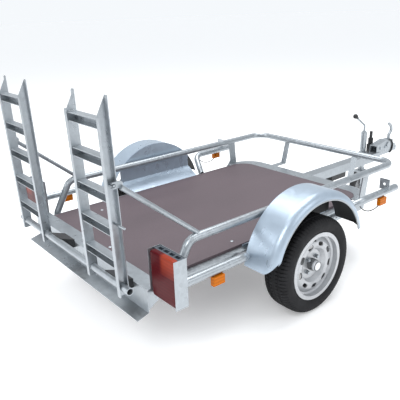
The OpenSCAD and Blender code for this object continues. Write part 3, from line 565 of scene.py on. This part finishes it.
def make_lips(sizes):
    """Bright rolled lip of each fender: a round section along an arc, point = centre + lip radius (-cos t, sin t)."""
    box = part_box("fender_right")
    lip_r, steps = FENDER_R - FENDER_EDGE, 80
    t = np.radians(np.linspace(25.0, 164.0, steps))
    thick = sizes.bead_r * np.clip(0.86 + np.arange(steps) / 40, 0, 1)
    y, z = AXLE_Y - lip_r * np.cos(t), box[1][2] - FENDER_R + lip_r * np.sin(t)
    for side, sign in SIDES:
        path = np.stack([np.full_like(t, sign * (box[1][0] - 0.005)), y, z], 1)
        lip = sweep(path, thick, 12, (1, 0, 0))
        build("fender_lip_" + side, [lip], FINISH["bolt"], "chassis")


def make_welds(sizes):
    """Welds of the ramps' rungs: a rippled bead along the top and bottom edge of each rung's two ends."""
    rungs, half_h, lean_deg = 5, 0.019, 1.2
    for side, _ in SIDES:
        low, high = (np.array(p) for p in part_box("ramp_rungs_" + side))
        lean = (high[2] - low[2]) * math.tan(math.radians(lean_deg))
        deep = high[1] - low[1] - lean
        beads = []
        for k in np.linspace(0, 1, rungs):
            z = low[2] + half_h + k * (high[2] - low[2] - 2 * half_h)
            y = high[1] - deep / 2 - k * lean
            for x in (low[0], high[0]):
                for rise in (-half_h, half_h):
                    ends = [(x, y - 0.46 * deep, z + rise), (x, y + 0.46 * deep, z + rise)]
                    beads.append(weld_run(ends, sizes.weld_r))
        build("rung_welds_" + side, beads, FINISH["weld"], "ramp_" + side)


def make_wheel_fasteners():
    """Wheel nuts, grease cap and valve: revolved profiles on the hub's studs and the rim."""
    disc, stud_circle, nut_r, nut_h = 0.0175, 0.049, 0.0098, 0.0185
    cap_r, valve_r, valve_x = 0.0262, 0.150, 0.03
    t = np.linspace(0, np.pi / 2, 8)
    cap = np.vstack([[(cap_r, disc + 0.034), (cap_r + 0.001, disc + 0.036), (cap_r + 0.001, disc + 0.046)],
                     np.stack([cap_r * np.cos(t), disc + 0.048 + 0.0075 * np.sin(t)], 1)])
    stem = [(0, -0.012), (0.0052, -0.012), (0.0052, 0.012), (0.0035, 0.014), (0.0035, 0.026), (0, 0.027)]
    for side, sign in SIDES:
        c = np.array([sign * WHEEL_X, AXLE_Y, AXLE_Z])
        axis = np.array([sign, 0.0, 0.0])
        parts = []
        for a in np.radians([45, 135, 225, 315]):
            at = c + [0, stud_circle * np.cos(a), stud_circle * np.sin(a)]
            parts += hex_head(at + axis * (disc + 0.008), axis, nut_r, nut_h, 1.2)
        build("wheel_nuts_" + side, parts, FINISH["bolt"], "wheel_" + side)
        build("hub_cap_" + side, [lathe(cap, c, axis, 32)], FINISH["cap"], "wheel_" + side)
        valve = lathe(stem, c + [sign * valve_x, 0.0, valve_r], (sign * 0.8, 0.0, -0.6), 12)
        build("valve_" + side, [valve], FINISH["lead"], "wheel_" + side)


def make_lamps(sizes):
    """Tail lamp lens: a rounded rectangle, |x|^n + |z|^n = 1 with n = 14, drawn in over its rear edge and bowed out."""
    low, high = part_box("lamp_lenses")
    h, n = (high[2] - low[2]) / 2, 14
    t = np.linspace(0, 2 * np.pi, 144, endpoint=False)
    c, s = np.cos(t), np.sin(t)
    fall = (np.abs(c) ** n + np.abs(s) ** n) ** (-1 / n)
    rho = np.array([1.0, 1.0, 1.0, 0.985, 0.955, 0.93, 0.8, 0.6, 0.4, 0.2, 0.0])
    back = np.array([0.0, 0.004, 0.0165, 0.0205, 0.0222, 0.0226, 0.0228, 0.023, 0.0232, 0.0233, 0.0233])
    back = back + sizes.lens_bulge * 0.1 * (1 - rho**2)
    for side, sign in SIDES:
        x = sign * LAMP_X + (c * fall)[:, None] * LAMP_HALF * rho
        z = (low[2] + high[2]) / 2 + (s * fall)[:, None] * h * rho
        y = np.broadcast_to(high[1] - back, x.shape)
        grid = patch(np.stack([x, y, z], -1), True)
        lens_obj = build("tail_lens_" + side, [grid], FINISH["tail"], "chassis")
        if side == "left":
            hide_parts("lamp_lenses")


def make_fasteners(sizes):
    """Deck bolts and frame bolts: domed and hexagon heads revolved about their own axes."""
    low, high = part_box("deck_panel")
    places = ((-0.396, 0.25), (0.093, 0.02), (0.469, 0.515), (0.396, 0.25), (-0.093, 0.02), (-0.469, 0.515))
    deck = [dome((x, low[1] + y, high[2]), (0, 0, 1), sizes.bolt_r, 0.003) for x, y in places]
    build("deck_bolts", deck, FINISH["bolt"], "chassis")
    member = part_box("side_member_right")
    heads = []
    for _, sign in SIDES:
        for y in (-0.095, -0.06):
            at = (sign * (member[1][0] + 0.006), y, member[0][2] + 0.03)
            heads += hex_head(at, (sign, 0, 0), 0.0085, 0.008)
    low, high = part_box("coupling_head")
    for y in (0.05, 0.12):
        for sign in (-1, 1):
            heads += hex_head((sign * 0.033, low[1] + y, low[2] + 0.06), (sign, 0, 0), 0.0095, 0.009)
    build("frame_bolts", heads, FINISH["bolt"], "chassis", smooth=False)


def make_grips():
    """Black grip on the jockey crank: a revolved bulb over the crank's knob."""
    low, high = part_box("jockey_crank")
    d = np.array([0.0, -0.857, 0.515])
    knob = 0.018
    centre = np.array([(low[0] + high[0]) / 2, low[1] + knob, high[2] - knob])
    t = np.linspace(-np.pi / 2, np.pi / 2, 14)
    bulb = np.stack([0.0192 * np.cos(t), 0.0195 * np.sin(t)], 1)
    grip = np.vstack([[(0, -0.032), (0.0105, -0.032), (0.011, -0.017)], bulb[3:]])
    build("crank_grip", [lathe(grip, centre, d, 28)], FINISH["black"], "chassis")


def make_stage():
    """Floor, soft studio light and the camera at the photograph's angle."""
    scene = bpy.context.scene
    white = {"Specular_IOR_Level": 0.1, "Emission_Color": (1, 1, 1, 1), "Emission_Strength": 0.24}
    paper = surface("studio_floor", hex_linear("F6F6F6"), 0.9, **white)[0]
    mesh = bpy.data.meshes.new("studio_floor")
    g = np.linspace(-150, 150, 3)
    xx, yy = np.meshgrid(g, g, indexing="ij")
    v, q = patch(np.stack([xx, yy, np.full_like(xx, -0.0005)], -1))
    mesh.from_pydata(v.tolist(), [], q.tolist())
    mesh.materials.append(paper)
    floor = bpy.data.objects.new("studio_floor", mesh)
    scene.collection.objects.link(floor)
    world = bpy.data.worlds.new("studio_white")
    world.use_nodes = True
    tree = world.node_tree
    sky = tree.nodes["Background"]
    feed(tree, sky, {"Color": (0.92, 0.96, 1, 1), "Strength": 0.8})
    # What the camera sees past the floor has the far floor's own tone, so no horizon shows.
    plain = add(tree, "Background", 0, {"Color": (0.917, 0.947, 0.976, 1)})
    direct = add(tree, "LightPath", "Is Camera Ray", {})
    seen = add(tree, "MixShader", 0, {0: direct, 1: sky.outputs[0], 2: plain})
    tree.links.new(seen, tree.nodes["World Output"].inputs["Surface"])
    scene.world = world
    scene.view_settings.view_transform = "Standard"
    lamps = (
        ("key", (2.5, -4.5, 4.5), 2.5, 110),
        ("fill", (5.5, 1.5, 3.5), 3.0, 60),
        ("top", (-1.0, 0.5, 6.0), 5.0, 330),
        ("rear", (-2.0, -5.0, 2.5), 3.0, 70),
    )
    for name, at, size, power in lamps:
        lamp = bpy.data.lights.new("studio_" + name, "AREA")
        lamp.size, lamp.energy = size, power
        obj = bpy.data.objects.new("studio_" + name, lamp)
        obj.location = at
        obj.rotation_euler = (Vector((0, 0, 0.4)) - Vector(at)).to_track_quat("-Z", "Y").to_euler()
        scene.collection.objects.link(obj)
    az, el, roll = (math.radians(a) for a in (50.96, 20.41, -2.02))
    back = Vector((math.sin(az) * math.cos(el), -math.cos(az) * math.cos(el), math.sin(el)))
    right = Vector((math.cos(az), math.sin(az), 0))
    up = back.cross(right)
    r2 = right * math.cos(roll) + up * math.sin(roll)
    u2 = up * math.cos(roll) - right * math.sin(roll)
    data = bpy.data.cameras.new("photo_camera")
    data.lens, data.sensor_width = 45.52, 36
    camera = bpy.data.objects.new("photo_camera", data)
    turn = Matrix((r2, u2, back)).transposed().to_4x4()
    camera.matrix_world = Matrix.Translation((2.1947, -2.4026, 1.4958)) @ turn
    scene.collection.objects.link(camera)
    scene.camera = camera


class TRAILER_OT_stage(bpy.types.Operator):
    """Floor, light and camera."""

    bl_idname = "trailer.stage"
    bl_label = "Studio"

    def execute(self, context):
        make_stage()
        return {"FINISHED"}


class TRAILER_OT_finishes(bpy.types.Operator):
    """Materials on every solid node."""

    bl_idname = "trailer.finishes"
    bl_label = "Finishes"

    def execute(self, context):
        paint_frame(context.scene.trailer_sizes, context.scene.trailer_colours)
        return {"FINISHED"}


class TRAILER_OT_tyres(bpy.types.Operator):
    """Road tyres with their tread."""

    bl_idname = "trailer.tyres"
    bl_label = "Tyres"

    def execute(self, context):
        make_tyres(context.scene.trailer_sizes)
        return {"FINISHED"}


class TRAILER_OT_fender_shade_sheets(bpy.types.Operator):
    """Black sheets of painted shade inside both fenders."""

    bl_idname = "trailer.liners"
    bl_label = "Underseal"

    def execute(self, context):
        make_fender_shade_sheets()
        return {"FINISHED"}


class TRAILER_OT_lips(bpy.types.Operator):
    """Rolled lips of both fenders."""

    bl_idname = "trailer.lips"
    bl_label = "Fender lips"

    def execute(self, context):
        make_lips(context.scene.trailer_sizes)
        return {"FINISHED"}


class TRAILER_OT_welds(bpy.types.Operator):
    """Weld beads at the ramps' rungs."""

    bl_idname = "trailer.welds"
    bl_label = "Rung welds"

    def execute(self, context):
        make_welds(context.scene.trailer_sizes)
        return {"FINISHED"}


class TRAILER_OT_wheel_fasteners(bpy.types.Operator):
    """Nuts, caps and valves of both wheels."""

    bl_idname = "trailer.wheel_fasteners"
    bl_label = "Wheel nuts"

    def execute(self, context):
        make_wheel_fasteners()
        return {"FINISHED"}


class TRAILER_OT_lamps(bpy.types.Operator):
    """Lenses of both tail lamps."""

    bl_idname = "trailer.lamps"
    bl_label = "Tail lamps"

    def execute(self, context):
        make_lamps(context.scene.trailer_sizes)
        return {"FINISHED"}


class TRAILER_OT_fasteners(bpy.types.Operator):
    """Bolts of the deck and frame."""

    bl_idname = "trailer.fasteners"
    bl_label = "Bolts"

    def execute(self, context):
        make_fasteners(context.scene.trailer_sizes)
        return {"FINISHED"}


class TRAILER_OT_grips(bpy.types.Operator):
    """Grip of the jockey crank."""

    bl_idname = "trailer.grips"
    bl_label = "Grips"

    def execute(self, context):
        make_grips()
        return {"FINISHED"}


OPERATORS = (
    TRAILER_OT_stage,
    TRAILER_OT_finishes,
    TRAILER_OT_tyres,
    TRAILER_OT_fender_shade_sheets,
    TRAILER_OT_lips,
    TRAILER_OT_welds,
    TRAILER_OT_wheel_fasteners,
    TRAILER_OT_lamps,
    TRAILER_OT_fasteners,
    TRAILER_OT_grips,
)


class TRAILER_PT_panel(bpy.types.Panel):
    """Lists the trailer's pieces."""

    bl_label = "Quad Bike Trailer"
    bl_idname = "TRAILER_PT_panel"
    bl_space_type = "VIEW_3D"
    bl_region_type = "UI"
    bl_category = "Trailer"

    def draw(self, context):
        for group in (context.scene.trailer_sizes, context.scene.trailer_colours):
            for key in type(group).__annotations__:
                self.layout.prop(group, key)
        for op in OPERATORS:
            self.layout.operator(op.bl_idname)


CLASSES = (TrailerSizes, TrailerColours, *OPERATORS, TRAILER_PT_panel)


def register():
    for cls in CLASSES:
        bpy.utils.register_class(cls)
    bpy.types.Scene.trailer_sizes = bpy.props.PointerProperty(type=TrailerSizes)
    bpy.types.Scene.trailer_colours = bpy.props.PointerProperty(type=TrailerColours)


def unregister():
    del bpy.types.Scene.trailer_sizes
    del bpy.types.Scene.trailer_colours
    for cls in reversed(CLASSES):
        bpy.utils.unregister_class(cls)


def main():
    register()
    for op in OPERATORS:
        getattr(bpy.ops.trailer, op.bl_idname.split(".")[1])()


if __name__ == "__main__":
    main()
